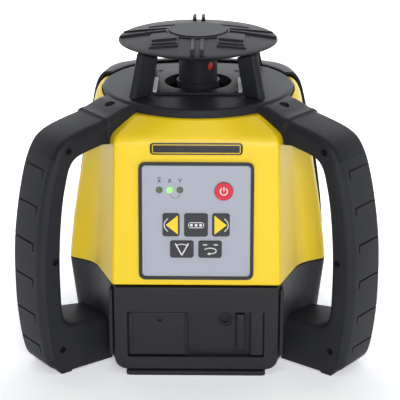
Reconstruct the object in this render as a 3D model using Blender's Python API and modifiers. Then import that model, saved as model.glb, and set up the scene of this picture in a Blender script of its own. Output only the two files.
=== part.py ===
"""A rotating laser level: a self-levelling laser head that spins under a crash cap on four posts.

Metres, +Z up. The origin is under the middle of the box, on the rotor's axis, at floor height.
+X is the operator's right and -Y is the front, where the keypad and the battery door are.
"""

import math

import bmesh
import bpy
from mathutils import Matrix, Vector

# Clearances.
GAP = 0.0003  # between pieces that touch
RUN = 0.0006  # round a piece that turns, slides or tips

# Casing.
WALL = 0.003
PARTING = 0.0633  # joint between the base and the housing
BREAK = 0.1582  # where the front face turns into the shoulder
SHOULDER_TOP = 0.1695
SIDE = 0.0865  # half width at the parting
FRONT = 0.0864  # front face, at the parting
FACE_LEAN = 0.131  # how far the front face leans back for each metre up
REAR = 0.092
REAR_LEAN = 0.063
SPLIT = 0.030  # plane between the housing and the rear shell
BASE_BOTTOM = 0.0025
BASE_DRAFT = 0.118

# Head.
COLLAR = 0.06435  # radius of the round deck
DECK_TOP = 0.175
WELL = 0.0226  # hole that the rotor comes out of
PLATE_HALF = 0.0295
PLATE_THICK = 0.001
CAP = 0.0533
CAP_RIM = 0.2053
CAP_LEVEL = 0.040  # the underside is level inside this
TOP = 0.212
MEDALLION = 0.0195
POST_THICK = 0.006
POST_FOOT = (0.0447, 0.0605)

# Handles.
HANDLE_TURN = math.radians(37.2)  # towards the front from +X and -X
HANDLE_HALF = 0.0175  # half of its width
HANDLE_ROOT = 0.084  # distance from the axis to the ends of its arms
ARM_HIGH = 0.0305  # top of its lower arm, at the root
GRIP_SKIN = 0.005

# Keypad, measured on the leaning front face: across, and up from the parting.
PAD_HALF = 0.0369
PAD_LOW = 0.0044
PAD_HIGH = 0.0815
FRAME_WIDTH = 0.0020
KEY_TRAVEL = 0.0006
KEY_PROUD = 0.0011

# Battery door.
DOOR_HALF = 0.0535
DOOR_LOW = 0.0041
DOOR_HIGH = 0.0625
DOOR_FRONT = -0.088
DOOR_THICK = 0.008
BAY_HALF = 0.0465
BAY_LOW = 0.008
BAY_HIGH = 0.051
BAY_DEEP = -0.018
HINGE = Vector((0, -0.0865, 0.0055))

# Tripod threads, 5/8 inch.
THREAD = 0.0079375
INSERT = 0.016
REAR_INSERT = 0.015
REAR_THREAD_HEIGHT = 0.082

# Gimbal, laser and rotor.
PIVOT = 0.140
RING_IN = 0.030
RING_OUT = 0.036
RING_HALF = 0.004
PIN = 0.0025
UPRIGHT = 0.038
UPRIGHT_THICK = 0.005
TUBE = 0.009
NECK = 0.008
BORE = 0.0066
ROTOR = 0.0129
SKIRT = 0.0145
SKIRT_LOW = 0.154
SKIRT_TOP = 0.1777
ROTOR_TOP = 0.1995
BEAM = 0.1889
BEARING = 0.0115
MOTOR = 0.0075
MOTOR_OUT = 0.0205  # its axis from the rotor's axis
PULLEY = 0.004
BELT_THICK = 0.001
BELT_LOW = 0.1552
BELT_WIDE = 0.0038
TILT_MOTOR = 0.0065
TILT_MOTOR_LONG = 0.015
TILT_MOTOR_SEAT = 0.105
SPINDLE = 0.0015
SPINDLE_ROOM = 0.005  # that a spindle draws back through
ARM_X = 0.048  # from the pivot to the spindle that tips the ring about X
ARM_Y = 0.046  # from the pivot to the spindle that tips the tube about Y
ARM_SIDE = -0.016
DOOR_SWING_ROOM = 0.001  # under the door, for its lower corner as it swings


def fresh_collection(name, hidden=False):
    made = bpy.data.collections.new(name)
    made.hide_render = hidden
    bpy.context.scene.collection.children.link(made)
    return made


for old in list(bpy.data.objects):
    bpy.data.objects.remove(old, do_unlink=True)
PARTS = fresh_collection("rotating_laser_level")
CUTTERS = fresh_collection("cutters", hidden=True)


def material(name, colour, roughness, metallic=0.0):
    made = bpy.data.materials.new(name)
    made.use_nodes = True
    shader = made.node_tree.nodes["Principled BSDF"]
    shader.inputs["Base Color"].default_value = (*colour, 1)
    shader.inputs["Roughness"].default_value = roughness
    shader.inputs["Metallic"].default_value = metallic
    return made


YELLOW = material("yellow_casing", (0.90, 0.60, 0.02), 0.42)
BLACK = material("black_casing", (0.030, 0.031, 0.034), 0.5)
RUBBER = material("black_rubber", (0.020, 0.020, 0.021), 0.8)
DECK = material("grey_deck", (0.085, 0.087, 0.095), 0.5)
LIGHT_GREY = material("light_grey_plastic", (0.42, 0.43, 0.45), 0.45)
PANEL = material("keypad_film", (0.40, 0.42, 0.48), 0.45)
BEZEL = material("keypad_bezel", (0.03, 0.03, 0.032), 0.35)
KEY = material("black_key", (0.02, 0.02, 0.024), 0.4)
RED_KEY = material("red_key", (0.75, 0.02, 0.03), 0.35)
LENS = material("indicator_lens", (0.05, 0.7, 0.1), 0.2)
GLASS = material("optical_glass", (0.6, 0.05, 0.05), 0.05)
ALUMINIUM = material("aluminium", (0.72, 0.73, 0.75), 0.35, 1.0)
BRASS = material("brass", (0.80, 0.60, 0.25), 0.35, 1.0)
STEEL = material("steel", (0.55, 0.55, 0.56), 0.35, 1.0)
BOARD = material("circuit_board", (0.02, 0.20, 0.06), 0.5)
BATTERY = material("battery_wrap", (0.05, 0.06, 0.09), 0.4)


def put(name, mesh, finish, matrix=None):
    """An object in the parts, or a cutter if it has no finish."""
    made = bpy.data.objects.new(name, mesh)
    if finish is None:
        CUTTERS.objects.link(made)
        made.hide_render = True
        made.display_type = "WIRE"
    else:
        PARTS.objects.link(made)
        mesh.materials.append(finish)
    if matrix is not None:
        made.matrix_world = matrix
    return made


def from_bmesh(name, cage, finish, matrix=None):
    mesh = bpy.data.meshes.new(name)
    bmesh.ops.recalc_face_normals(cage, faces=cage.faces)
    cage.to_mesh(mesh)
    cage.free()
    return put(name, mesh, finish, matrix)


def box(name, low, high, finish=None, matrix=None):
    low, high = Vector(low), Vector(high)
    cage = bmesh.new()
    size = Matrix.Diagonal((*(high - low), 1))
    bmesh.ops.create_cube(cage, size=1, matrix=Matrix.Translation((low + high) / 2) @ size)
    return from_bmesh(name, cage, finish, matrix)


def rod(name, radius, start, end, finish=None, segments=32, tip=None):
    """A round bar, or a cone if tip is given, from one point to another."""
    start, end = Vector(start), Vector(end)
    along = end - start
    cage = bmesh.new()
    turn = along.to_track_quat("Z", "Y").to_matrix().to_4x4()
    place = Matrix.Translation((start + end) / 2) @ turn
    bmesh.ops.create_cone(
        cage,
        cap_ends=True,
        segments=segments,
        radius1=radius,
        radius2=radius if tip is None else tip,
        depth=along.length,
        matrix=place,
    )
    made = from_bmesh(name, cage, finish)
    smooth(made)
    return made


def smooth(piece):
    piece.data.shade_smooth()
    piece.data.set_sharp_from_angle(angle=math.radians(35))


def plate(name, outlines, thick, finish=None, matrix=None):
    """A flat outline, and any holes in it, given thickness about its own plane."""
    curve = bpy.data.curves.new(name, "CURVE")
    curve.dimensions = "2D"
    curve.fill_mode = "BOTH"
    curve.extrude = thick / 2
    for outline in outlines:
        spline = curve.splines.new("POLY")
        spline.points.add(len(outline) - 1)
        spline.use_cyclic_u = True
        for point, (across, up) in zip(spline.points, outline):
            point.co = (across, up, 0, 1)
    flat = bpy.data.objects.new(name + "_outline", curve)
    CUTTERS.objects.link(flat)
    graph = bpy.context.evaluated_depsgraph_get()
    mesh = bpy.data.meshes.new_from_object(flat.evaluated_get(graph))
    bpy.data.objects.remove(flat)
    cage = bmesh.new()
    cage.from_mesh(mesh)
    bmesh.ops.remove_doubles(cage, verts=cage.verts, dist=1e-6)
    return from_bmesh(name, cage, finish, matrix)


def turned(name, profile, finish, closed=False, steps=32):
    """A profile of radius and height turned about Z. It runs down its outer side."""
    cage = bmesh.new()
    points = [cage.verts.new((radius, 0, height)) for radius, height in profile]
    ends = points[1:] + points[:1] if closed else points[1:]
    for one, other in zip(points, ends):
        cage.edges.new((one, other))
    mesh = bpy.data.meshes.new(name)
    cage.to_mesh(mesh)
    cage.free()
    made = put(name, mesh, finish)
    screw = made.modifiers.new("Turn", "SCREW")
    screw.axis = "Z"
    screw.steps = steps
    screw.render_steps = steps
    screw.use_merge_vertices = True
    screw.merge_threshold = 0.00001
    return made


def change(piece, tool, operation="DIFFERENCE", solver="EXACT"):
    boolean = piece.modifiers.new(operation.title(), "BOOLEAN")
    boolean.operation = operation
    boolean.solver = solver
    boolean.object = tool


def soften(piece, width, segments=1):
    bevel = piece.modifiers.new("Bevel", "BEVEL")
    bevel.width = width
    bevel.segments = segments
    bevel.limit_method = "ANGLE"
    bevel.angle_limit = math.radians(40)


def rounded(low, high, radius, steps=3):
    """A rectangle with round corners, as points."""
    corners = ((high[0], high[1], 0), (low[0], high[1], 90), (low[0], low[1], 180), (high[0], low[1], 270))
    points = []
    for across, up, turn in corners:
        middle_x = across - math.copysign(radius, math.cos(math.radians(turn + 45)))
        middle_y = up - math.copysign(radius, math.sin(math.radians(turn + 45)))
        for step in range(steps + 1):
            angle = math.radians(turn + 90 * step / steps)
            points.append((middle_x + radius * math.cos(angle), middle_y + radius * math.sin(angle)))
    return points


def ring_of(radius, centre=(0, 0), steps=24):
    angles = [math.tau * step / steps for step in range(steps)]
    return [(centre[0] + radius * math.cos(a), centre[1] + radius * math.sin(a)) for a in angles]


# --- The casing: three shells cut from one lofted body ---------------------------------------


def side_at(z):
    rise = z - PARTING
    return SIDE - 0.075 * rise - 0.95 * rise * rise


def outline_at(z):
    """The plan of the casing at a height, anticlockwise from the middle of the front."""
    share = (z - PARTING) / (BREAK - PARTING)
    front = -FRONT + FACE_LEAN * (z - PARTING)
    rear = REAR - REAR_LEAN * (z - PARTING)
    side = side_at(z)
    nose = DOOR_HALF + 0.0004 - 0.018 * (z - PARTING)
    half = [(nose * step / 4, front) for step in range(5)]
    half.append((nose + 0.0096 - 0.0025 * share, front + 0.0254 - 0.0044 * share))
    half.append((side - 0.0131 + 0.0038 * share, -0.0462 + 0.0082 * share))
    half.append((side - 0.0015 - 0.0013 * share, -0.0380 + 0.0160 * share))
    half += [(side, -0.018 + 0.012 * share), (side, 0.010), (side, SPLIT + 0.004)]
    half += [(side * 0.97, 0.058), (side * 0.86, rear - 0.016), (side * 0.66, rear - 0.004)]
    half += [(side * 0.33, rear - 0.0005)]
    return half + [(0, rear)] + [(-x, y) for x, y in reversed(half[1:])]


def inset(outline, distance):
    """The outline moved inwards, with mitred corners."""
    moved = []
    for index, point in enumerate(outline):
        here = Vector(point)
        before = here - Vector(outline[index - 1])
        after = Vector(outline[(index + 1) % len(outline)]) - here
        first = Vector((-before.y, before.x)).normalized()
        second = Vector((-after.y, after.x)).normalized()
        moved.append(here + (first + second) * distance / (1 + first.dot(second)))
    return moved


def round_at(radius, behind=0.0):
    """A round section with the casing's number of points, and a radius that grows behind."""
    points = []
    for x, y in outline_at(BREAK):
        turn = math.atan2(x, -y)
        reach = radius + behind * max(0.0, -math.cos(turn))
        points.append((reach * math.sin(turn), -reach * math.cos(turn)))
    return points


def loft(name, sections, finish=None):
    """A closed body through sections of equal count, each an outline and its height.

    Its quads are split the same way on every such body, mirrored left and right, so that one
    body set off from another stays clear of it all over.
    """
    cage = bmesh.new()
    rings = [[cage.verts.new((x, y, z)) for x, y in outline] for outline, z in sections]
    for lower, upper in zip(rings, rings[1:]):
        for index in range(len(lower)):
            after = (index + 1) % len(lower)
            corners = [lower[index], lower[after], upper[after], upper[index]]
            if index >= len(lower) // 2:
                corners = corners[1:] + corners[:1]
            cage.faces.new(corners[:3])
            cage.faces.new((corners[0], corners[2], corners[3]))
    cage.faces.new(reversed(rings[0]))
    cage.faces.new(rings[-1])
    return from_bmesh(name, cage, finish)


BANDS = (PARTING + (BREAK - PARTING) / 3, PARTING + (BREAK - PARTING) * 2 / 3)


def upper_body(name, inward, low, finish=None):
    """The yellow housing's outer form, or one inside or outside it, up to the round shoulder."""
    sections = [(inset(outline_at(PARTING), inward), low)]
    sections += [(inset(outline_at(z), inward), z) for z in BANDS]
    sections.append((inset(outline_at(BREAK), inward), BREAK - inward * 0.7))
    sections.append((round_at(COLLAR + 0.0005 - inward), SHOULDER_TOP - inward))
    return loft(name, sections, finish)


def rear_body(name, low, finish):
    """The rear shell's outer form. Its rim stands a little above the shoulder."""
    sections = [(outline_at(PARTING), low)]
    sections += [(outline_at(z), z) for z in (*BANDS, BREAK)]
    rim = DECK_TOP - 0.001
    sections.append((round_at(COLLAR + 0.0032, 0.0050), rim - 0.003))
    sections.append((round_at(COLLAR + 0.0024, 0.0040), rim))
    return loft(name, sections, finish)


def face_matrix(across=0.0, up=0.0, out=0.0):
    """A place on the leaning front face: X across, Y up the face, Z out of it."""
    lean = math.atan(FACE_LEAN)
    rise = Vector((0, math.sin(lean), math.cos(lean)))
    outward = Vector((0, -math.cos(lean), math.sin(lean)))
    turn = Matrix((Vector((1, 0, 0)), rise, outward)).transposed().to_4x4()
    start = Vector((across, -FRONT, PARTING)) + rise * up + outward * out
    return Matrix.Translation(start) @ turn


def make_main_housing():
    housing = upper_body("main_housing", 0, PARTING + GAP / 2, YELLOW)
    change(housing, upper_body("housing_cavity", WALL, PARTING - 0.005))
    change(housing, rod("housing_mouth", COLLAR - 0.006, (0, 0, BREAK), (0, 0, DECK_TOP + 0.01)))
    change(housing, box("housing_back", (-0.2, SPLIT, 0), (0.2, 0.2, 0.3)))


def make_rear_shell():
    """Its ribs and boss cross a wall of many slopes, which is cut with the manifold solver."""
    shell = rear_body("rear_shell", PARTING + GAP / 2, BLACK)
    for side in (-1, 1):
        rib = box(
            f"rest_rib_{side}",
            (side * 0.052 - 0.005, REAR - 0.014, PARTING + 0.004),
            (side * 0.052 + 0.005, REAR + 0.004, BREAK - 0.012),
        )
        change(shell, rib, "UNION", "MANIFOLD")
    height = REAR_THREAD_HEIGHT
    boss = REAR_INSERT + WALL
    raised = rod("rear_boss", boss, (0, REAR - 0.02, height), (0, REAR + 0.002, height))
    change(shell, raised, "UNION", "MANIFOLD")
    hole = REAR_INSERT + GAP
    for tool in (
        upper_body("rear_cavity", WALL, PARTING - 0.005),
        rod("rear_mouth", COLLAR + GAP, (0, 0, BREAK - 0.02), (0, 0, DECK_TOP + 0.01)),
        box("rear_front", (-0.2, -0.2, 0), (0.2, SPLIT + GAP, 0.3)),
        rod("rear_insert_hole", hole, (0, REAR - 0.03, height), (0, REAR + 0.02, height)),
    ):
        change(shell, tool, solver="MANIFOLD")
    insert = rod(
        "tripod_insert_rear",
        REAR_INSERT,
        (0, REAR - 0.014, height),
        (0, REAR + 0.0037, height),
        BRASS,
    )
    thread = rod("rear_thread", THREAD, (0, REAR - 0.010, height), (0, REAR + 0.02, height))
    change(insert, thread)


def handle_matrix(side):
    """X out along the handle's own direction, Y up, Z across its width."""
    out = Vector((side * math.cos(HANDLE_TURN), -math.sin(HANDLE_TURN), 0))
    up = Vector((0, 0, 1))
    return Matrix((out, up, out.cross(up))).transposed().to_4x4()


def make_base():
    sections = []
    for z in (BASE_BOTTOM, BASE_BOTTOM + 0.02, PARTING - GAP / 2):
        sections.append((inset(outline_at(PARTING), BASE_DRAFT * (PARTING - z)), z))
    base = loft("base_housing", sections, BLACK)
    for side in (-1, 1):
        place = handle_matrix(side)
        start = place @ Vector((HANDLE_ROOT - 0.018, ARM_HIGH / 2, 0))
        end = place @ Vector((HANDLE_ROOT - GAP, ARM_HIGH / 2, 0))
        change(base, rod(f"handle_socket_{side}", 0.012, start, end), "UNION")
        seat_low = (HANDLE_ROOT - GAP, -0.010, -HANDLE_HALF - GAP)
        seat_high = (HANDLE_ROOT + 0.03, ARM_HIGH + 0.003, HANDLE_HALF + GAP)
        change(base, box(f"handle_seat_{side}", seat_low, seat_high, matrix=place))
    door_back = DOOR_FRONT + DOOR_THICK + GAP
    change(base, box("door_recess", (-DOOR_HALF - RUN, -0.2, -0.1), (DOOR_HALF + RUN, door_back, 0.1)))
    change(base, box("battery_bay", (-BAY_HALF, -0.1, BAY_LOW), (BAY_HALF, BAY_DEEP, BAY_HIGH)))
    change(base, box("rear_hollow", (-0.060, -0.013, 0.012), (0.060, REAR - 0.016, 0.1)))
    hollow_front = door_back + 0.006
    change(base, box("front_hollow", (-0.050, hollow_front, BAY_HIGH + WALL), (0.050, -0.010, 0.1)))
    for x in (-0.044, 0.044):
        for y, low in ((-0.050, BAY_HIGH + 0.001), (0.060, 0.010)):
            post = rod(f"boss_{x}_{y}", 0.005, (x, y, low), (x, y, PARTING - GAP / 2), segments=16)
            change(base, post, "UNION")
    hole = rod("base_insert_hole", INSERT + GAP, (0, 0, -0.01), (0, 0, 0.0205))
    change(base, hole)
    insert = rod("tripod_insert_base", INSERT, (0, 0, 0.001), (0, 0, 0.020), BRASS)
    change(insert, rod("base_thread", THREAD, (0, 0, -0.01), (0, 0, 0.03)))


def make_feet():
    door_back = DOOR_FRONT + DOOR_THICK
    strip_low, strip_high = (-0.046, -0.089, 0), (0.0455, door_back, DOOR_LOW - DOOR_SWING_ROOM)
    strip = box("front_foot", strip_low, strip_high, RUBBER)
    tongue = box("foot_tongue", (-0.040, door_back - 0.001, 0), (0.040, -0.066, BASE_BOTTOM - GAP))
    change(strip, tongue, "UNION")
    for name, side in (("rear_foot_left", -1), ("rear_foot_right", 1)):
        rod(name, 0.009, (side * 0.050, 0.062, 0), (side * 0.050, 0.062, BASE_BOTTOM - GAP), RUBBER)


# --- The head: deck, posts and crash cap -----------------------------------------------------


def cap_under(radius):
    """Height of the cap's underside, which slopes up to the rim outside its level ring."""
    return CAP_RIM - (CAP - max(radius, CAP_LEVEL)) * 0.34


def make_head():
    seat = SHOULDER_TOP + GAP
    spigot = COLLAR - 0.006 - GAP
    turned(
        "deck_collar",
        [
            (WELL, DECK_TOP),
            (COLLAR - 0.0008, DECK_TOP),
            (COLLAR, DECK_TOP - 0.0008),
            (COLLAR, seat),
            (spigot, seat),
            (spigot, seat - 0.004),
            (spigot - 0.003, seat - 0.004),
            (spigot - 0.003, DECK_TOP - 0.0035),
            (WELL, DECK_TOP - 0.0035),
        ],
        DECK,
        closed=True,
        steps=40,
    )
    plate_low = DECK_TOP + GAP
    middle = Matrix.Translation((0, 0, plate_low + PLATE_THICK / 2))
    square = rounded((-PLATE_HALF, -PLATE_HALF), (PLATE_HALF, PLATE_HALF), 0.002, 2)
    plate("seal_plate", [square, ring_of(WELL + GAP)], PLATE_THICK, LIGHT_GREY, middle)
    for name, side in (("post_tab_left", -1), ("post_tab_right", 1)):
        near = side * (PLATE_HALF + GAP)
        far = side * (PLATE_HALF + 0.0025)
        ends = sorted((near, far))
        box(name, (ends[0], -0.028, plate_low), (ends[1], 0.005, plate_low + PLATE_THICK), LIGHT_GREY)
    turned(
        "head_cap",
        [
            (0, TOP - 0.0014),
            (MEDALLION + 0.0008, TOP - 0.0014),
            (MEDALLION + 0.0012, TOP - 0.0006),
            (0.033, TOP - 0.0022),
            (0.045, TOP - 0.0042),
            (CAP, CAP_RIM + 0.0009),
            (CAP, CAP_RIM),
            (CAP_LEVEL, cap_under(CAP_LEVEL)),
            (CAP_LEVEL - 0.006, cap_under(CAP_LEVEL)),
            (0.027, CAP_RIM - 0.0005),
            (0, CAP_RIM - 0.0005),
        ],
        BLACK,
        steps=40,
    )
    rod("cap_medallion", MEDALLION, (0, 0, TOP - 0.0011), (0, 0, TOP), BLACK)
    lean = 0.0064
    for name, turn in (
        ("head_post_front_right", -45),
        ("head_post_rear_right", 45),
        ("head_post_rear_left", 135),
        ("head_post_front_left", 225),
    ):
        inner, outer = POST_FOOT
        top_in = inner - lean
        top_out = min(outer - lean - 0.0015, CAP - 0.0007)
        side = [
            (inner, plate_low),
            (outer, plate_low),
            (top_out, cap_under(top_out) - GAP),
            (CAP_LEVEL, cap_under(CAP_LEVEL) - GAP),
            (top_in, cap_under(top_in) - GAP),
        ]
        around = Matrix.Rotation(math.radians(turn), 4, "Z") @ Matrix.Rotation(math.pi / 2, 4, "X")
        blade = plate(name, [side], POST_THICK, BLACK, around)
        soften(blade, 0.001)


# --- Handles ---------------------------------------------------------------------------------

# Distance from the axis and height, down the outer side of the handle.
HANDLE_OUTSIDE = [
    (0.100, 0.1645),
    (0.1115, 0.1615),
    (0.1190, 0.1568),
    (0.1250, 0.1475),
    (0.1290, 0.1375),
    (0.1346, 0.1140),
    (0.1383, 0.0810),
    (0.1387, 0.0640),
    (0.1384, 0.0440),
    (0.1355, 0.0210),
    (0.1325, 0.0090),
    (0.1270, 0.0025),
]
# Up the inner side, where the fingers go.
HANDLE_INSIDE = [
    (0.1060, 0.0335),
    (0.1170, 0.0335),
    (0.1205, 0.0370),
    (0.1219, 0.0550),
    (0.1219, 0.0800),
    (0.1203, 0.1020),
    (0.1177, 0.1210),
    (0.1149, 0.1330),
    (0.1125, 0.1420),
    (0.1080, 0.1468),
]


def moved_in(points, distance):
    """An open line moved to its right-hand side as it runs down, which is inwards."""
    moved = []
    for index, point in enumerate(points):
        before = Vector(points[max(index - 1, 0)])
        after = Vector(points[min(index + 1, len(points) - 1)])
        along = (after - before).normalized()
        moved.append(tuple(Vector(point) + Vector((along.y, -along.x)) * distance))
    return moved


def make_handles():
    gripped = HANDLE_OUTSIDE[3:-1]
    under_skin = moved_in(gripped, GRIP_SKIN + GAP)
    skin = gripped + moved_in(gripped, GRIP_SKIN)[::-1]
    top = (HANDLE_ROOT, 0.168)
    foot = [(0.125, 0.0), (0.117, 0.0), (0.116, 0.001), (HANDLE_ROOT, 0.001), (HANDLE_ROOT, ARM_HIGH)]
    core = [top] + HANDLE_OUTSIDE[:3] + under_skin + HANDLE_OUTSIDE[-1:] + foot
    core += HANDLE_INSIDE + [(HANDLE_ROOT, 0.1525)]
    head_low, head_high = 0.1495, 0.1735
    blank = upper_body("bracket_fit", -2 * GAP, PARTING)
    collar_fit = rod("collar_fit", COLLAR + 0.0012, (0, 0, 0.1), (0, 0, 0.2), segments=64)
    for name, side in (("left", -1), ("right", 1)):
        place = handle_matrix(side)
        frame = plate("handle_" + name, [core], 2 * HANDLE_HALF, BLACK, place)
        soften(frame, 0.0016)
        soften(plate("grip_" + name, [skin], 2 * HANDLE_HALF, RUBBER, place), 0.003)
        ear = [
            (0.064, head_low),
            (HANDLE_ROOT - GAP, head_low + 0.003),
            (HANDLE_ROOT - GAP, 0.1683),
            (0.067, head_high),
            (0.064, head_high),
        ]
        bracket = plate("bracket_" + name, [ear], 2 * HANDLE_HALF, BLACK, place)
        change(bracket, blank)
        change(bracket, collar_fit)
        low, high = (place @ Vector((0.0735, z, 0)) for z in (0.1672, 0.19))
        change(bracket, rod("screw_hole_" + name, 0.0037, low, high, segments=20))
        screw = rod(
            "bracket_screw_" + name,
            0.0033,
            low + Vector((0, 0, GAP)),
            low + Vector((0, 0, 0.0026)),
            STEEL,
            segments=20,
        )
        socket_low = low + Vector((0, 0, 0.0014))
        change(screw, rod("screw_socket_" + name, 0.0016, socket_low, high, segments=6))


# --- Keypad ----------------------------------------------------------------------------------

# Name, low corner, high corner, finish: across and up the face. The power key is round.
KEYS = (
    ("key_left", (-0.0213, 0.0333), (-0.0109, 0.0480)),
    ("key_level", (-0.0074, 0.0332), (0.0072, 0.0480)),
    ("key_right", (0.0105, 0.0334), (0.0212, 0.0480)),
    ("key_scan", (-0.0165, 0.0192), (-0.0019, 0.0301)),
    ("key_speed", (0.0017, 0.0192), (0.0162, 0.0301)),
)
POWER_KEY = (0.0176, 0.0627)
POWER_RADIUS = 0.0058
LIGHTS = (("light_x", -0.0236), ("light_status", -0.0170), ("light_y", -0.0104))
LIGHT_UP = 0.0634
LIGHT_RADIUS = 0.0019
FILM_TOP = 0.0010
KEY_LOW = GAP + KEY_TRAVEL


def make_keypad():
    outer = rounded((-PAD_HALF, PAD_LOW), (PAD_HALF, PAD_HIGH), 0.004)
    window_low = (-PAD_HALF + FRAME_WIDTH, PAD_LOW + FRAME_WIDTH)
    window_high = (PAD_HALF - FRAME_WIDTH, PAD_HIGH - FRAME_WIDTH)
    window = rounded(window_low, window_high, 0.0025)
    frame_thick = 0.0013
    plate("keypad_bezel", [outer, window], frame_thick, BEZEL, face_matrix(out=GAP + frame_thick / 2))
    film_low = (window_low[0] + GAP, window_low[1] + GAP)
    film_high = (window_high[0] - GAP, window_high[1] - GAP)
    film = [rounded(film_low, film_high, 0.0022)]
    key_thick = FILM_TOP + KEY_PROUD - KEY_LOW
    place = face_matrix(out=KEY_LOW + key_thick / 2)
    for name, low, high in KEYS:
        plate(name, [rounded(low, high, 0.0012, 2)], key_thick, KEY, place)
        hole = rounded((low[0] - GAP, low[1] - GAP), (high[0] + GAP, high[1] + GAP), 0.0014, 2)
        film.append(hole)
    plate("key_power", [ring_of(POWER_RADIUS, POWER_KEY)], key_thick, RED_KEY, place)
    film.append(ring_of(POWER_RADIUS + GAP, POWER_KEY))
    light_thick = FILM_TOP
    for name, across in LIGHTS:
        spot = (across, LIGHT_UP)
        lens = [ring_of(LIGHT_RADIUS, spot, 16)]
        plate(name, lens, light_thick, LENS, face_matrix(out=GAP + light_thick / 2))
        film.append(ring_of(LIGHT_RADIUS + GAP, spot, 16))
    film_thick = FILM_TOP - GAP
    plate("keypad_film", film, film_thick, PANEL, face_matrix(out=GAP + film_thick / 2))
    board = rounded((-0.033, 0.012), (0.033, 0.074), 0.002, 2)
    plate("keypad_board", [board], 0.0016, BOARD, face_matrix(out=-WALL - 0.002))
    name_low, name_high = PAD_HIGH + 0.0045, PAD_HIGH + 0.0122
    blank = rounded((-0.0295, name_low), (0.0295, name_high), 0.001, 2)
    plate("nameplate", [blank], 0.0006, BEZEL, face_matrix(out=GAP + 0.0003))


# --- Battery door, its sliding lock, the battery ---------------------------------------------


def hang(name, place, pieces):
    """An empty on the axis that the pieces turn about, with the pieces as its children."""
    axis = bpy.data.objects.new(name, None)
    PARTS.objects.link(axis)
    axis.location = place
    for piece in pieces:
        piece.parent = axis
        piece.matrix_parent_inverse = Matrix.Translation(place).inverted()


def make_door():
    upright = Matrix.Rotation(math.pi / 2, 4, "X")
    radius = 0.008
    outline = [(-DOOR_HALF, DOOR_HIGH), (-DOOR_HALF, DOOR_LOW + radius)]
    for turn in (180, 270):
        for step in range(1, 5):
            angle = math.radians(turn + 22.5 * step)
            middle = (DOOR_HALF - radius) * (-1 if turn == 180 else 1)
            up = DOOR_LOW + radius + radius * math.sin(angle)
            outline.append((middle + radius * math.cos(angle), up))
        if turn == 180:
            outline.append((DOOR_HALF - radius, DOOR_LOW))
    outline.append((DOOR_HALF, DOOR_HIGH))
    place = Matrix.Translation((0, DOOR_FRONT + DOOR_THICK / 2, 0)) @ upright
    door = plate("battery_door", [outline], DOOR_THICK, BLACK, place)
    floor = DOOR_FRONT + 0.0045
    change(door, box("door_panel", (-0.045, -0.1, 0.0131), (0.0445, floor, 0.0452)))
    ribs = (
        ("door_rib", 0.0262, 0.0317, 0.018, 0.0435, 0.0),
        ("door_slab", 0.0354, 0.0438, 0.014, 0.045, 0.0005),
    )
    for name, left, right, low, high, back in ribs:
        change(door, box(name, (left, DOOR_FRONT + back, low), (right, floor + 0.001, high)), "UNION")
    port_x, port_z, port = 0.0187, 0.0385, 0.0045
    hole_start, hole_end = (port_x, -0.1, port_z), (port_x, -0.07, port_z)
    change(door, rod("port_hole", port + GAP, hole_start, hole_end, segments=24))
    socket = rod(
        "charge_port",
        port,
        (port_x, floor + 0.0003, port_z),
        (port_x, DOOR_FRONT + DOOR_THICK - GAP, port_z),
        BLACK,
        segments=24,
    )
    change(socket, rod("port_bore", 0.003, hole_start, (port_x, -0.0815, port_z), segments=20))
    lock_low = (-0.044, DOOR_FRONT + 0.0004, 0.0142)
    lock = box("door_lock", lock_low, (-0.0059, floor - RUN / 2, 0.0444), BLACK)
    soften(lock, 0.0005)
    hang("door_hinge", HINGE, (door, socket, lock))
    pack_front = DOOR_FRONT + DOOR_THICK + 0.002
    pack = box(
        "battery_pack",
        (-BAY_HALF + 0.003, pack_front, BAY_LOW + GAP),
        (BAY_HALF - 0.003, BAY_DEEP - 0.002, BAY_HIGH - 0.002),
        BATTERY,
    )
    soften(pack, 0.002)


# --- Inside: chassis, gimbal, laser, rotor and drives ----------------------------------------


def make_chassis():
    low = PARTING + GAP / 2
    chassis = box("chassis", (-0.060, -0.058, low), (0.060, 0.066, low + 0.0035), ALUMINIUM)
    for side in (-1, 1):
        ends = sorted((side * UPRIGHT, side * (UPRIGHT + UPRIGHT_THICK)))
        upright = box(f"upright_{side}", (ends[0], -0.009, low + 0.002), (ends[1], 0.009, PIVOT + 0.010))
        change(chassis, upright, "UNION")
    post_low, post_high = (-0.006, ARM_X - 0.006, low + 0.002), (0.006, ARM_X + 0.006, TILT_MOTOR_SEAT)
    change(chassis, box("motor_post", post_low, post_high), "UNION")
    hole = PIN + RUN / 2
    change(chassis, rod("pivot_holes", hole, (-0.06, 0, PIVOT), (0.06, 0, PIVOT), segments=20))
    motor_top = TILT_MOTOR_SEAT + TILT_MOTOR_LONG
    rod("tilt_motor_x", TILT_MOTOR, (0, ARM_X, TILT_MOTOR_SEAT + GAP), (0, ARM_X, motor_top), STEEL, 20)
    top = PIVOT - RING_HALF - RUN
    rod("tilt_spindle_x", SPINDLE, (0, ARM_X, motor_top + SPINDLE_ROOM), (0, ARM_X, top), STEEL, 12)
    board = box("main_board", (-0.035, ARM_X + 0.014, low + 0.008), (0.035, ARM_X + 0.0156, 0.135), BOARD)
    chips = box("chips", (-0.022, ARM_X + 0.0105, 0.090), (0.020, ARM_X + 0.0145, 0.118))
    change(board, chips, "UNION")


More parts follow.
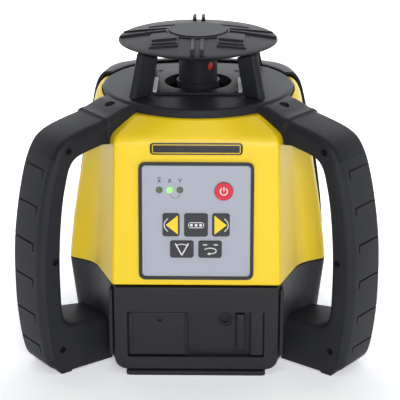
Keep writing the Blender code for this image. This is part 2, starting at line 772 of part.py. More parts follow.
def make_gimbal():
    low, high = PIVOT - RING_HALF, PIVOT + RING_HALF
    ring = turned(
        "gimbal_ring",
        [(RING_IN, high), (RING_OUT, high), (RING_OUT, low), (RING_IN, low)],
        ALUMINIUM,
        closed=True,
    )
    for side in (-1, 1):
        start = (side * (RING_IN + 0.003), 0, PIVOT)
        end = (side * (UPRIGHT + UPRIGHT_THICK - 0.0005), 0, PIVOT)
        change(ring, rod(f"ring_pin_{side}", PIN, start, end, segments=16), "UNION")
    change(ring, box("ring_arm", (-0.004, RING_OUT - 0.003, low), (0.004, ARM_X + 0.005, high)), "UNION")
    ear_low = (RING_IN + 0.0005, ARM_SIDE - 0.006, low)
    change(ring, box("ring_ear", ear_low, (ARM_Y + 0.006, ARM_SIDE + 0.0045, high)), "UNION")
    change(ring, rod("trunnion_holes", PIN + RUN / 2, (0, -0.06, PIVOT), (0, 0.0345, PIVOT), segments=20))
    spot = (ARM_Y, ARM_SIDE)
    change(ring, rod("spindle_hole", SPINDLE + RUN, (*spot, 0.12), (*spot, 0.16), segments=16))
    motor_low = high + SPINDLE_ROOM + GAP
    motor = rod("tilt_motor_y", TILT_MOTOR, (*spot, motor_low), (*spot, motor_low + TILT_MOTOR_LONG), STEEL, 20)
    hang("gimbal_axis", (0, 0, PIVOT), (ring, motor))


def make_laser():
    tube = turned(
        "laser_tube",
        [
            (BORE, 0.168),
            (NECK, 0.168),
            (NECK, 0.153),
            (0.0105, 0.153),
            (0.0105, 0.150),
            (TUBE, 0.150),
            (TUBE, 0.106),
            (BORE, 0.106),
        ],
        ALUMINIUM,
        closed=True,
        steps=24,
    )
    diagonal = MOTOR_OUT / math.sqrt(2)
    spot = (diagonal, diagonal)
    lug = rod("motor_lug", MOTOR + 0.0015, (*spot, 0.1501), (*spot, 0.1529), segments=24)
    change(tube, lug, "UNION")
    diagonal_turn = Matrix.Rotation(math.pi / 4, 4, "Z")
    lug_web = box("lug_web", (0.008, -0.005, 0.1502), (MOTOR_OUT, 0.005, 0.1528), matrix=diagonal_turn)
    change(tube, lug_web, "UNION")
    for side in (-1, 1):
        start, end = (0, side * (BORE + 0.0012), PIVOT), (0, side * (RING_OUT - 0.0025), PIVOT)
        change(tube, rod(f"trunnion_{side}", PIN, start, end, segments=16), "UNION")
    arm_high = 0.123
    arm_low = (0.0055, ARM_SIDE - 0.004, arm_high - 0.004)
    arm = box("tilt_arm", arm_low, (ARM_Y + 0.004, ARM_SIDE + 0.004, arm_high))
    web_low = (-0.004, ARM_SIDE - 0.0035, arm_high - 0.0038)
    web = box("arm_web", web_low, (0.010, -(BORE + TUBE) / 2 + 0.0004, arm_high - 0.0002))
    change(tube, arm, "UNION")
    change(tube, web, "UNION")
    change(tube, rod("shaft_hole", 0.002, (*spot, 0.14), (*spot, 0.16), segments=12))
    tip = arm_high + RUN
    spindle_top = PIVOT + RING_HALF
    rod("tilt_spindle_y", SPINDLE, (ARM_Y, ARM_SIDE, tip), (ARM_Y, ARM_SIDE, spindle_top), STEEL, 12)
    module = rod("laser_module", TUBE - 0.0005, (0, 0, 0.084), (0, 0, 0.106 - GAP), BRASS, 24)
    lens = rod("collimator_lens", BORE - GAP, (0, 0, 0.110), (0, 0, 0.1128), GLASS, 24)
    motor = rod("drive_motor", MOTOR, (*spot, 0.128), (*spot, 0.150 - GAP), STEEL, 24)
    pulley_low, pulley_high = BELT_LOW - 0.001, BELT_LOW + BELT_WIDE + 0.001
    pulley = rod("motor_pulley", PULLEY, (*spot, pulley_low), (*spot, pulley_high), ALUMINIUM, 24)
    change(pulley, rod("motor_shaft", 0.0012, (*spot, 0.1502), (*spot, BELT_LOW), segments=12), "UNION")
    hang("motor_axis", (*spot, BELT_LOW), (pulley,))
    hang("tube_axis", (0, 0, PIVOT), (tube, module, lens, motor, make_belt(spot)))


def make_belt(spot):
    """A flat belt round the rotor's skirt and the motor's pulley."""
    loops = []
    for grow in (GAP + BELT_THICK, GAP):
        big, small = SKIRT + grow, PULLEY + grow
        lean = math.acos((big - small) / MOTOR_OUT)
        loop = []
        for centre, radius, start, end in (
            ((0, 0), big, lean, math.tau - lean),
            (spot, small, -lean, lean),
        ):
            for step in range(17):
                angle = math.pi / 4 + start + (end - start) * step / 16
                loop.append((centre[0] + radius * math.cos(angle), centre[1] + radius * math.sin(angle)))
        loops.append(loop)
    middle = Matrix.Translation((0, 0, BELT_LOW + BELT_WIDE / 2))
    return plate("drive_belt", loops, BELT_WIDE, RUBBER, middle)


def make_rotor():
    bearing_low, bearing_high = 0.158, 0.166
    turned(
        "rotor_bearing",
        [
            (NECK + GAP, bearing_high),
            (BEARING, bearing_high),
            (BEARING, bearing_low),
            (NECK + GAP, bearing_low),
        ],
        STEEL,
        closed=True,
        steps=24,
    )
    prism_room = 0.009
    rotor = turned(
        "rotor_head",
        [
            (0, ROTOR_TOP),
            (ROTOR - 0.0012, ROTOR_TOP),
            (ROTOR, ROTOR_TOP - 0.0012),
            (ROTOR, SKIRT_TOP),
            (SKIRT, SKIRT_TOP),
            (SKIRT, SKIRT_LOW),
            (BEARING + GAP, SKIRT_LOW),
            (BEARING + GAP, 0.1685),
            (prism_room, 0.1685),
            (prism_room, ROTOR_TOP - 0.002),
            (0, ROTOR_TOP - 0.002),
        ],
        BLACK,
    )
    beam = Vector((1, -1, 0)).normalized()
    height = Vector((0, 0, BEAM))
    change(rotor, rod("beam_port", 0.003, beam * 0.005 + height, beam * 0.02 + height, segments=20))
    rod("rotor_window", 0.003 - GAP, beam * 0.0098 + height, beam * 0.0118 + height, GLASS, 20)
    half = 0.0055
    turn = Matrix.Translation(height) @ Matrix.Rotation(math.pi / 4, 4, "Z")
    box("pentaprism", (-half, -half, -half), (half, half, half), GLASS, turn)


make_base()
make_main_housing()
make_rear_shell()
make_feet()
make_head()
make_handles()
make_keypad()
make_door()
make_chassis()
make_gimbal()
make_laser()
make_rotor()
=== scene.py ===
import math

import bmesh
import bpy
from mathutils import Matrix, Vector


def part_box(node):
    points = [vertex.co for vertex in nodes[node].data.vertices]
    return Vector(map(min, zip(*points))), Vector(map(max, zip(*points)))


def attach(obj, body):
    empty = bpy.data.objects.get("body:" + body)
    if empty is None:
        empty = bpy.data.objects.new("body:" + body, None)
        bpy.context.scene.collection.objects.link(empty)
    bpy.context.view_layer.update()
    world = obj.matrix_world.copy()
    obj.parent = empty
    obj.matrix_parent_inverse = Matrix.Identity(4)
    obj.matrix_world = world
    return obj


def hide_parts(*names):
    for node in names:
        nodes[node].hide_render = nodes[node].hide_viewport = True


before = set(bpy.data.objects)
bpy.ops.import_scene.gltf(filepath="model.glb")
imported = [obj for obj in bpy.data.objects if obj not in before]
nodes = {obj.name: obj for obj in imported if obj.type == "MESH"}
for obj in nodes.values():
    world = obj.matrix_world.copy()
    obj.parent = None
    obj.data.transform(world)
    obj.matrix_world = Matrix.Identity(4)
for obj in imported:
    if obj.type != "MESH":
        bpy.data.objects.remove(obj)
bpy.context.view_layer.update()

MM = 0.001

# --- Studio: a roll of white paper swept up behind the object, one large soft light in front, a weak
# --- one over the top, a narrow strip on each side, and a wash on the paper behind.


def linear(code, alpha=1.0):
    """An sRGB hex colour as linear values."""
    parts = [int(code[i : i + 2], 16) / 255 for i in (1, 3, 5)]
    straight = [c / 12.92 if c <= 0.04045 else ((c + 0.055) / 1.055) ** 2.4 for c in parts]
    return (*straight, alpha)


def add(tree, kind, inputs=None, **settings):
    """A shader node with its settings, its input values and its links."""
    made = tree.nodes.new("ShaderNode" + kind)
    for name, value in settings.items():
        setattr(made, name, value)
    for name, value in (inputs or {}).items():
        if isinstance(value, bpy.types.NodeSocket):
            tree.links.new(value, made.inputs[name])
        else:
            made.inputs[name].default_value = value
    return made


def material(name):
    """An empty node material and its output."""
    made = bpy.data.materials.new(name)
    made.use_nodes = True
    tree = made.node_tree
    tree.nodes.clear()
    return made, tree, add(tree, "OutputMaterial")


def area(name, size, power, place, aim, colour="#FFFFFF"):
    """A rectangular soft light, in metres and watts, turned towards its aim."""
    lamp = bpy.data.lights.new(name, "AREA")
    lamp.shape = "RECTANGLE"
    lamp.size, lamp.size_y = size
    lamp.energy = power
    lamp.color = linear(colour)[:3]
    made = bpy.data.objects.new(name, lamp)
    bpy.context.collection.objects.link(made)
    made.location = place
    made.rotation_euler = (Vector(aim) - Vector(place)).to_track_quat("-Z", "Y").to_euler()


floor_mesh = bmesh.new()
sweep = [(-1.6, 0), (0.9, 0)]
sweep += [(0.9 + 0.5 * math.sin(a), 0.5 - 0.5 * math.cos(a)) for a in (0.3, 0.6, 0.9, 1.2, 1.5708)]
sweep.append((1.4, 2.5))
edges = []
for y, z in sweep:
    edges.append([floor_mesh.verts.new((x, y, z)) for x in (-4, 4)])
for near, far in zip(edges, edges[1:]):
    floor_mesh.faces.new((near[0], near[1], far[1], far[0]))
floor_data = bpy.data.meshes.new("sweep")
floor_mesh.to_mesh(floor_data)
floor_mesh.free()
floor_data.shade_smooth()
floor = bpy.data.objects.new("sweep", floor_data)
bpy.context.collection.objects.link(floor)
# Seamless paper: white, matt, with a faint tooth, lit through from behind the object upwards.
paper, tree, out = material("seamless_paper")
depth = add(tree, "SeparateXYZ", {"Vector": add(tree, "TexCoord").outputs["Object"]}).outputs["Y"]
glow = add(
    tree,
    "MapRange",
    {"Value": depth, "From Min": -0.1, "From Max": 0.45, "To Min": 0.32, "To Max": 0.9},
)
tooth = add(tree, "TexNoise", {"Scale": 900.0, "Detail": 2.0})
raised = add(tree, "Bump", {"Strength": 0.05, "Distance": 0.0002, "Height": tooth.outputs["Fac"]})
shader = add(
    tree,
    "BsdfPrincipled",
    {
        "Base Color": linear("#F4F6FA"),
        "Roughness": 0.9,
        "Emission Color": linear("#FFFFFF"),
        "Emission Strength": glow.outputs["Result"],
        "Normal": raised.outputs["Normal"],
    },
)
tree.links.new(shader.outputs["BSDF"], out.inputs["Surface"])
floor_data.materials.append(paper)

world = bpy.data.worlds.new("studio")
world.use_nodes = True
world.node_tree.nodes["Background"].inputs["Color"].default_value = linear("#EEF3FA")
world.node_tree.nodes["Background"].inputs["Strength"].default_value = 0.10
bpy.context.scene.world = world
bpy.context.scene.view_settings.view_transform = "Standard"
area("front_box", (0.9, 0.8), 26, (0.25, -2.05, 0.85), (0, 0, 0.10))
area("right_strip", (0.10, 1.2), 1.3, (1.25, -0.5, 0.5), (0, 0, 0.10))
area("left_strip", (0.12, 1.0), 0.4, (-1.2, 0.1, 0.5), (0, 0, 0.10), "#EEF3FF")
area("top_box", (0.8, 0.5), 4.0, (0.1, -0.8, 1.7), (0, 0, 0.1))
area("back_wash", (2.4, 1.0), 8, (0, 0.85, 1.6), (0, 1.4, 0.3))

# A long lens a metre away, a little above the instrument and looking down on it.
camera_data = bpy.data.cameras.new("camera")
camera = bpy.data.objects.new("camera", camera_data)
bpy.context.collection.objects.link(camera)
camera_data.lens = 138.22
camera_data.sensor_width = 36
camera.location = (0.0159, -0.9999, 0.4559)
heading, dip = math.radians(0.84), math.radians(20.06)
ahead = Vector((-math.sin(heading) * math.cos(dip), math.cos(heading) * math.cos(dip), -math.sin(dip)))
camera.rotation_euler = ahead.to_track_quat("-Z", "Y").to_euler()
bpy.context.scene.camera = camera

# --- Main housing: the yellow upper shell, injection moulded in one piece, open below and behind.
# --- Its front leans back, and its front corners are scooped out for the hands.

housing_low, housing_high = (Vector(corner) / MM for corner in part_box("main_housing"))
PART_LINE = housing_low.z
BREAK_LINE = PART_LINE + 94.8
SPLIT = housing_high.y


def rounded_path(corners, arc=6, run=5):
    """Points along a line of corners (x, y, radius), each corner an arc and each straight split."""
    points = [Vector(corners[0][:2])]
    for before, here, after in zip(corners, corners[1:], corners[2:]):
        back = Vector(before[:2]) - Vector(here[:2])
        forth = Vector(after[:2]) - Vector(here[:2])
        bend = math.pi - back.angle(forth)
        reach = min(here[2] * math.tan(bend / 2), 0.46 * back.length, 0.46 * forth.length)
        start = Vector(here[:2]) + back.normalized() * reach
        end = Vector(here[:2]) + forth.normalized() * reach
        last = points[-1]
        points += [last.lerp(start, k / run) for k in range(1, run)]
        for k in range(arc + 1):
            t = k / arc
            points.append(start * (1 - t) ** 2 + Vector(here[:2]) * 2 * t * (1 - t) + end * t * t)
    last, end = points[-1], Vector(corners[-1][:2])
    return points + [last.lerp(end, k / run) for k in range(1, run + 1)]


# The casing's half width, and the reach of its nose, at the parting line. The nose leans back.
WAIST = 86.4
NOSE_LEAN = 0.131


def side_at(z):
    """The casing's half width at a height: it narrows upwards, faster and faster."""
    rise = z - PART_LINE
    return WAIST - 0.075 * rise - 0.00095 * rise * rise


def front_half(z, inward=0.0):
    """The right half of the housing's plan from the middle of the front to the split line."""
    rise = z - PART_LINE
    share = rise / (BREAK_LINE - PART_LINE)
    front = -WAIST + NOSE_LEAN * rise + inward
    nose = 54.2 - 0.018 * rise - inward * 0.7
    side = side_at(z) - inward
    return rounded_path(
        [
            (0, front, 0),
            (nose, front, 2.6),
            (69.0 - 8.0 * share - inward, -47.0 + 5.5 * share, 24),
            (side - 0.3, -38.8 + 17.8 * share + inward, 6 + 6 * share),
            (side, SPLIT, 0),
        ]
    )


def mirrored(half):
    """A right half, from the front round to its end, made into the whole line from left to right."""
    return [Vector((-p.x, p.y)) for p in reversed(half[1:])] + list(half)


def skin(name, rows, finish, closed=False, caps=False, thick=0.0, angle=32):
    """A surface through rows of points in millimetres, smooth but for its sharp edges."""
    cage = bmesh.new()
    lines = [[cage.verts.new(Vector(point) * MM) for point in row] for row in rows]
    for lower, upper in zip(lines, lines[1:]):
        for index in range(len(lower) if closed else len(lower) - 1):
            after = (index + 1) % len(lower)
            cage.faces.new((lower[index], lower[after], upper[after], upper[index]))
    if caps:
        cage.faces.new(reversed(lines[0]))
        cage.faces.new(lines[-1])
    if caps or closed:
        bmesh.ops.recalc_face_normals(cage, faces=cage.faces)
    return shown(name, cage, finish, thick, angle)


def shown(name, cage, finish, thick=0.0, angle=32):
    """The finished mesh as an object, smooth but for its sharp edges."""
    data = bpy.data.meshes.new(name)
    cage.to_mesh(data)
    cage.free()
    data.materials.append(finish)
    data.shade_smooth()
    data.set_sharp_from_angle(angle=math.radians(angle))
    made = bpy.data.objects.new(name, data)
    bpy.context.collection.objects.link(made)
    if thick:
        wall = made.modifiers.new("Wall", "SOLIDIFY")
        wall.thickness = thick * MM
        wall.offset = -1
        wall.use_even_offset = False
    return made


def moulded(name, colour, shade, roughness, grain, depth, mottle=0.35, shine=0.5):
    """A moulded plastic or rubber: a fine spark-eroded grain, and a faint drift of colour and gloss.

    grain is the size of its grains in millimetres, and depth their height. The grains are drawn
    several times coarser than the real ones, which would be too fine to show.
    """
    made, tree, out = material(name)
    place = add(tree, "TexCoord").outputs["Object"]
    fine = add(
        tree,
        "TexNoise",
        {"Vector": place, "Scale": 1 / (grain * MM), "Detail": 3.0, "Roughness": 0.6},
    )
    cloud = add(tree, "TexNoise", {"Vector": place, "Scale": 1 / (35 * MM), "Detail": 2.0})
    drift = add(tree, "Mix", {"Factor": cloud.outputs["Fac"]}, data_type="RGBA")
    # The colour sockets share their names with the number sockets, so they go by position.
    drift.inputs[6].default_value = linear(colour)
    drift.inputs[7].default_value = linear(shade)
    gloss = add(
        tree,
        "MapRange",
        {"Value": fine.outputs["Fac"], "To Min": roughness - 0.10 * mottle, "To Max": roughness + 0.16 * mottle},
    )
    bump = add(tree, "Bump", {"Strength": 0.55, "Distance": depth * MM, "Height": fine.outputs["Fac"]})
    shader = add(
        tree,
        "BsdfPrincipled",
        {
            "Base Color": drift.outputs[2],
            "Roughness": gloss.outputs["Result"],
            "IOR": 1.5,
            "Specular IOR Level": shine,
            "Normal": bump.outputs["Normal"],
        },
    )
    tree.links.new(shader.outputs["BSDF"], out.inputs["Surface"])
    return made


# Yellow ABS off a lightly eroded tool: an even satin that goes warm in the shade.
YELLOW_ABS = moulded("yellow_abs", "#F5D313", "#F2CD0D", 0.40, 0.55, 0.012)

rows = []
for z, inward in ((0, 0.9), (0.25, 0.35), (0.8, 0.0), (12, 0), (28, 0), (44, 0), (60, 0), (74, 0), (86, 0)):
    rows.append([(p.x, p.y, PART_LINE + z) for p in mirrored(front_half(PART_LINE + z, inward))])
SHOULDER = housing_high.z
COLLAR_SEAT = 64.9
brow = [Vector((p.x, p.y, BREAK_LINE)) for p in mirrored(front_half(BREAK_LINE))]


def on_collar(point, radius=COLLAR_SEAT, z=SHOULDER):
    """The place on the collar's seat that faces a point."""
    turn = math.atan2(point.x, -point.y)
    return Vector((radius * math.sin(turn), -radius * math.cos(turn), z))


under = [Vector((p.x, p.y, BREAK_LINE - 4)) for p in mirrored(front_half(BREAK_LINE - 4))]


def roundness_at(point):
    """0 on the flat front slope, rising to 1 on the bulging side shoulders."""
    share = min(1.0, max(0.0, (point.y + 46) / 44))
    return share * share * (3 - 2 * share)


for step in range(14):
    t = step / 13
    row = []
    for low, brow_point in zip(under, brow):
        side = roundness_at(brow_point)
        seat = on_collar(brow_point, COLLAR_SEAT, SHOULDER + 2.6 * side)
        # A short bend and then a straight slope at the front, one round bulge at the sides.
        bend, turn_end = brow_point, brow_point.lerp(seat, 0.22)
        if t < 0.5:
            u = t / 0.5
            flat = low * (1 - u) ** 2 + bend * 2 * u * (1 - u) + turn_end * u * u
        else:
            flat = turn_end.lerp(seat, (t - 0.5) / 0.5)
        crest = low.lerp(seat, 0.34)
        crest.z = SHOULDER + 5.5
        bulge = low * (1 - t) ** 2 + crest * 2 * t * (1 - t) + seat * t * t
        row.append(flat.lerp(bulge, side))
    rows.append(row)
housing = skin("main_housing_shell", rows, YELLOW_ABS, thick=2.5)
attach(housing, "casing")
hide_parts("main_housing")

# --- Rear shell: the black back of the casing, moulded with two ribs that it lies on and a boss
# --- for the second tripod thread. It wraps the deck with a rounded shoulder.

# Black ABS off a deeper eroded tool: the grain greys it where the light grazes.
BLACK_ABS = moulded("black_abs", "#2A2B2F", "#242529", 0.46, 0.6, 0.02, mottle=0.6, shine=0.16)
rear_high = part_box("rear_shell")[1]
RIM = rear_high[2] / MM
# The back wall stands here at the parting line. The ribs and the boss stand proud of it.
REAR_WALL = 92.0


def rear_half(z, inward=0.0):
    """The right half of the rear shell's plan, from the split line to the middle of the back."""
    side, rear = side_at(z) - inward, REAR_WALL - 0.063 * (z - PART_LINE) - inward
    return rounded_path([(side, SPLIT + 0.35, 0), (side, rear, 34), (0, rear, 0)], arc=12, run=6)


def rear_line(half):
    """A right half as the whole line round the back, from right to left."""
    return list(half) + [Vector((-p.x, p.y)) for p in reversed(half[:-1])]


rows = []
for z, inward in ((0, 0.9), (0.25, 0.35), (0.8, 0), (20, 0), (40, 0), (60, 0), (78, 0), (90, 0)):
    rows.append([(p.x, p.y, PART_LINE + z) for p in rear_line(rear_half(PART_LINE + z, inward))])
waist = [Vector((p.x, p.y, BREAK_LINE - 4)) for p in rear_line(rear_half(BREAK_LINE - 4))]


def rim_point(point, grow, z):
    """The place on the rim over the deck that faces a point: further out and lower at the back."""
    turn = math.atan2(point.x, -point.y)
    radius = 65.6 + grow + 2.0 * max(0.0, -math.cos(turn)) ** 1.3
    sag = 1.7 * max(0.0, -math.cos(turn)) ** 6
    return Vector((radius * math.sin(turn), -radius * math.cos(turn), z - sag))


crest = []
for p in waist:
    over = p.lerp(rim_point(p, 1.5, RIM), 0.34)
    over.z = RIM + 1.6 - 3.0 * max(0.0, over.y / 75) ** 3
    crest.append(over)
for step in range(1, 9):
    t = step / 8
    rows.append(
        [
            a * (1 - t) ** 2 + b * 2 * t * (1 - t) + rim_point(a, 0.6, RIM - 0.6) * t * t
            for a, b in zip(waist, crest)
        ]
    )
rows.append([rim_point(p, -0.1, RIM - 0.1) for p in waist])
rows.append([rim_point(p, -0.6, RIM - 0.4) for p in waist])
rear = skin("rear_shell_skin", [list(reversed(row)) for row in rows], BLACK_ABS, thick=2.0)
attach(rear, "casing")
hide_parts("rear_shell")


def inset(outline, distance):
    """A closed anticlockwise outline moved in by a distance, or by one for each point."""
    moved = []
    count = len(outline)
    for index, here in enumerate(outline):
        step = distance[index] if isinstance(distance, list) else distance
        before = here - outline[index - 1]
        after = outline[(index + 1) % count] - here
        first = Vector((-before.y, before.x)).normalized()
        second = Vector((-after.y, after.x)).normalized()
        moved.append(here + (first + second) * step / max(0.35, 1 + first.dot(second)))
    return moved


def slab(name, outline, low, high, edge, finish, place=None, foot=0.0, steps=4, angle=32):
    """An outline in millimetres given depth, with its upper edge rounded, and its lower by foot."""
    outline = [Vector(p) for p in outline]
    place = place or Matrix()
    edges = edge if isinstance(edge, list) else [edge] * len(outline)
    rows = []
    if foot:
        for k in range(steps):
            turn = math.pi / 2 * k / steps
            ring = inset(outline, foot * (1 - math.sin(turn)))
            rows.append([place @ Vector((p.x, p.y, low + foot * (1 - math.cos(turn)))) for p in ring])
    rows.append([place @ Vector((p.x, p.y, low + foot)) for p in outline])
    if edge:
        for k in range(steps + 1):
            turn = math.pi / 2 * k / steps
            ring = inset(outline, [e * (1 - math.cos(turn)) for e in edges])
            lifts = [high - e + e * math.sin(turn) for e in edges]
            rows.append([place @ Vector((p.x, p.y, z)) for p, z in zip(ring, lifts)])
    else:
        rows.append([place @ Vector((p.x, p.y, high)) for p in outline])
    return skin(name, rows, finish, closed=True, caps=True, angle=angle)


def box_line(low, high, radius, arc=4):
    """A rectangle with round corners, anticlockwise."""
    points = []
    corners = ((high[0], low[1], -90), (high[0], high[1], 0), (low[0], high[1], 90), (low[0], low[1], 180))
    for x, y, turn in corners:
        across = x - radius if x == high[0] else x + radius
        up = y - radius if y == high[1] else y + radius
        middle = Vector((across, up))
        for k in range(arc + 1):
            a = math.radians(turn + 90 * k / arc)
            points.append(middle + Vector((math.cos(a), math.sin(a))) * radius)
    return points


def circle(radius, centre=(0, 0), steps=32):
    turns = [math.tau * k / steps for k in range(steps)]
    return [Vector((centre[0] + radius * math.cos(a), centre[1] + radius * math.sin(a))) for a in turns]


def cut(piece, cutters, angle=32):
    """Takes closed cutters out of a piece and drops them."""
    for number, cutter in enumerate(cutters):
        taken = piece.modifiers.new(f"Cut {number}", "BOOLEAN")
        taken.object = cutter
        taken.solver = "EXACT"
    graph = bpy.context.evaluated_depsgraph_get()
    data = bpy.data.meshes.new_from_object(piece.evaluated_get(graph))
    piece.modifiers.clear()
    piece.data = data
    for cutter in cutters:
        bpy.data.objects.remove(cutter)
    data.shade_smooth()
    data.set_sharp_from_angle(angle=math.radians(angle))


# Looking at the back: X to the left of the object, Y up, Z out of it.
BACK = Matrix(((-1, 0, 0, 0), (0, 0, 1, 0), (0, 1, 0, 0), (0, 0, 0, 1)))
for side in (-1, 1):
    rib = slab(
        f"rest_rib_{side + 2}",
        box_line((side * 52 - 4.6, PART_LINE + 5), (side * 52 + 4.6, BREAK_LINE - 13), 4.0),
        80,
        rear_high[1] / MM - 0.1,
        2.0,
        BLACK_ABS,
        BACK,
    )
    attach(rib, "casing")
INSERT_UP = sum(corner[2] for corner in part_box("tripod_insert_rear")) / 2 / MM
REAR_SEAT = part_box("tripod_insert_rear")[1][0] / MM + 0.2
boss = slab("rear_boss", circle(19.5, (0, INSERT_UP), 40), 88.5, 94.4, 1.6, BLACK_ABS, BACK)
cut(boss, [slab("seat", circle(REAR_SEAT, (0, INSERT_UP), 48), 80, 99, 0, BLACK_ABS, BACK)])
cut(rear, [slab("seat", circle(REAR_SEAT, (0, INSERT_UP), 48), 80, 99, 0, BLACK_ABS, BACK)], 60)
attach(boss, "casing")

# --- Base: the black lower casing. It narrows downwards, and its nose is closed by the battery door.

base_low = Vector(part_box("base_housing")[0]) / MM
DOOR_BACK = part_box("battery_door")[1][1] / MM + 0.3


def base_half(z, inward=0.0):
    """The right half of the base's plan, from the middle of the door to the middle of the back."""
    drop = PART_LINE - z
    side, rear = WAIST - 0.118 * drop - inward, REAR_WALL - 0.118 * drop - inward
    return rounded_path(
        [
            (0, DOOR_BACK + inward, 0),
            (56.2 - 0.06 * drop - inward, DOOR_BACK + inward, 1.0),
            (69.0 - 0.09 * drop - inward, -47.0, 24),
            (side - 0.3, -38.8 + inward, 6),
            (side, rear, 34),
            (0, rear, 0),
        ],
        arc=8,
    )


rows = []
for z, inward in (
    (0, 3.4), (0.5, 1.7), (1.6, 0.5), (3.2, 0), (15, 0), (30, 0), (45, 0), (59.6, 0), (60.2, 0.3), (60.45, 0.9),
):
    height = base_low.z + z
    ring = mirrored(base_half(height, inward))
    rows.append([(p.x, p.y, height) for p in ring[:-1]])
# The base's black ABS, painted lighter than the shell's as painted light on its shadowed sides, and given more
# shine.
LIGHTENED_BASE_ABS = moulded("base_abs_painted_light", "#36373C", "#303136", 0.46, 0.6, 0.02, mottle=0.6, shine=0.3)
base = skin("base_skin", rows, LIGHTENED_BASE_ABS, closed=True, caps=True, angle=40)
# It is open in front for the battery, and below for the brass tripod insert. Looking at the front:
# X to the right of the object, Y up, Z out of it.
FRONT = Matrix(((1, 0, 0, 0), (0, 0, -1, 0), (0, 1, 0, 0), (0, 0, 0, 1)))
pack_low, pack_high = (Vector(corner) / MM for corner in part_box("battery_pack"))
bay = box_line((pack_low.x - 2.5, pack_low.z - 0.3), (pack_high.x + 2.5, pack_high.z + 2.0), 2.0)
insert_high = Vector(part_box("tripod_insert_base")[1]) / MM
cut(
    base,
    [
        slab("bay", bay, -pack_high.y - 2, 90, 0, LIGHTENED_BASE_ABS, FRONT),
        slab("insert_seat", circle(insert_high.x + 0.3, steps=64), -2, insert_high.z + 0.3, 0, LIGHTENED_BASE_ABS),
    ],
    40,
)
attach(base, "casing")
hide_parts("base_housing")

# --- Handles: a glass-filled nylon hoop on each side, with a soft grip moulded over its outer half.
# --- The grip has cross cuts, and each hoop stands on a small pad.

HANDLE_TURN = math.radians(37.2)
HANDLE_HALF = 17.5
# Glass-filled nylon: darker and drier than the ABS, with a coarser tooth.
NYLON = moulded("black_nylon", "#28292D", "#212226", 0.48, 0.7, 0.025, mottle=0.7, shine=0.14)
# Soft grip: thermoplastic rubber, matt, with a slightly grey bloom.
GRIP_RUBBER = moulded("grip_rubber", "#2E2F33", "#27282C", 0.55, 0.8, 0.03, mottle=0.6, shine=0.16)


def handle_place(side):
    """X outwards along the handle, Y up, Z across it: towards the front on both sides."""
    out = Vector((side * math.cos(HANDLE_TURN), -math.sin(HANDLE_TURN), 0))
    across = Vector((-side * math.sin(HANDLE_TURN), -math.cos(HANDLE_TURN), 0))
    return Matrix((out, Vector((0, 0, 1)), across)).transposed().to_4x4()


def curve_through(points, steps=5):
    """A smooth line through the points."""
    points = [Vector(p) for p in points]
    ends = [points[0] * 2 - points[1]] + points + [points[-1] * 2 - points[-2]]
    line = []
    for a, b, c, d in zip(ends, ends[1:], ends[2:], ends[3:]):
        for k in range(steps):
            t = k / steps
            line.append(
                (
                    b * 2
                    + (c - a) * t
                    + (a * 2 - b * 5 + c * 4 - d) * t * t
                    + (b * 3 - a - c * 3 + d) * t**3
                )
                / 2
            )
    return line + [points[-1]]


outside = curve_through(
    [
        (84, 168.0), (96, 165.6), (106, 163.2), (113.5, 160.4), (119.5, 156.2), (124.3, 149.0), (128.0, 140.0),
        (131.8, 126.0), (135.0, 110.0), (137.3, 94.0), (138.4, 79.0), (138.65, 64.0), (138.3, 46.0), (136.6, 28.0),
        (134.2, 14.0), (131.2, 6.5), (126.0, 2.2),
    ]
)
inside = curve_through(
    [
        (84, 30.3), (96, 32.2), (106, 33.4), (112.5, 33.6), (117.3, 35.3), (120.3, 39.8), (121.5, 48.0),
        (121.9, 62.0), (121.8, 80.0), (120.4, 101.0), (118.0, 119.5), (115.2, 132.0), (112.6, 140.6),
        (108.6, 145.9), (102.0, 148.6), (93.0, 150.6), (84, 152.4),
    ]
)
# The grip runs between these heights, and the hoop under it is sunk by its depth.
GRIP_TOP, GRIP_END, SKIN_DEEP = 148.0, 11.0, 5.2


def two_faced(name, outline, half, edges, finish, place, sunk=None, steps=5, angle=30):
    """An outline given the width 2 * half, with both of its rims rounded, its points sunk inwards."""
    sunk = sunk or [0.0] * len(outline)
    rows = []
    turns = [math.pi / 2 * k / steps for k in range(steps + 1)]
    for sign, order in ((-1, reversed(turns)), (1, turns)):
        for turn in order:
            ring = inset(outline, [d + e * (1 - math.cos(turn)) for d, e in zip(sunk, edges)])
            lift = [half - e * (1 - math.sin(turn)) for e in edges]
            rows.append([place @ Vector((p.x, p.y, sign * z)) for p, z in zip(ring, lift)])
    return skin(name, rows, finish, closed=True, caps=True, angle=angle)


def split_at(line, height):
    """The line that runs down, with two points close together where it passes the height."""
    for index, (here, after) in enumerate(zip(line, line[1:])):
        if here.x > 120 and here.y > height >= after.y:
            share = (here.y - height) / (here.y - after.y)
            near = here.lerp(after, share)
            step = (after - here).normalized() * 0.03
            return line[: index + 1] + [near - step, near + step] + line[index + 1 :]
    return line


outside = split_at(split_at(outside, GRIP_TOP), GRIP_END)


def on_grip(p):
    return p.x > 120 and GRIP_END < p.y < GRIP_TOP


base_line = [Vector(p) for p in ((124.0, 0.1), (117.0, 0.1), (115.6, 1.2), (84, 1.2))]
core = [*outside, *base_line, *inside]
core.reverse()
roundness, sunk = [], []
for p in core:
    covered = on_grip(p) and p in outside
    sunk.append(SKIN_DEEP if covered else 0.0)
    roundness.append(1.0 if covered or p.x < 86 or p in base_line else 5.0 if p in outside else 3.2)
# The grip is swept along the hoop: at each point of its outer line stands one section, as
# (depth under the surface, place across the handle), with both of its outer edges rounded.
gripped = [p for p in outside if on_grip(p)]
section = []
for sign, order in ((-1, range(6, -1, -1)), (1, range(7))):
    for k in order:
        turn = math.pi / 2 * k / 6
        section.append((5.0 * (1 - math.cos(turn)), sign * (HANDLE_HALF - 5.0 * (1 - math.sin(turn)))))
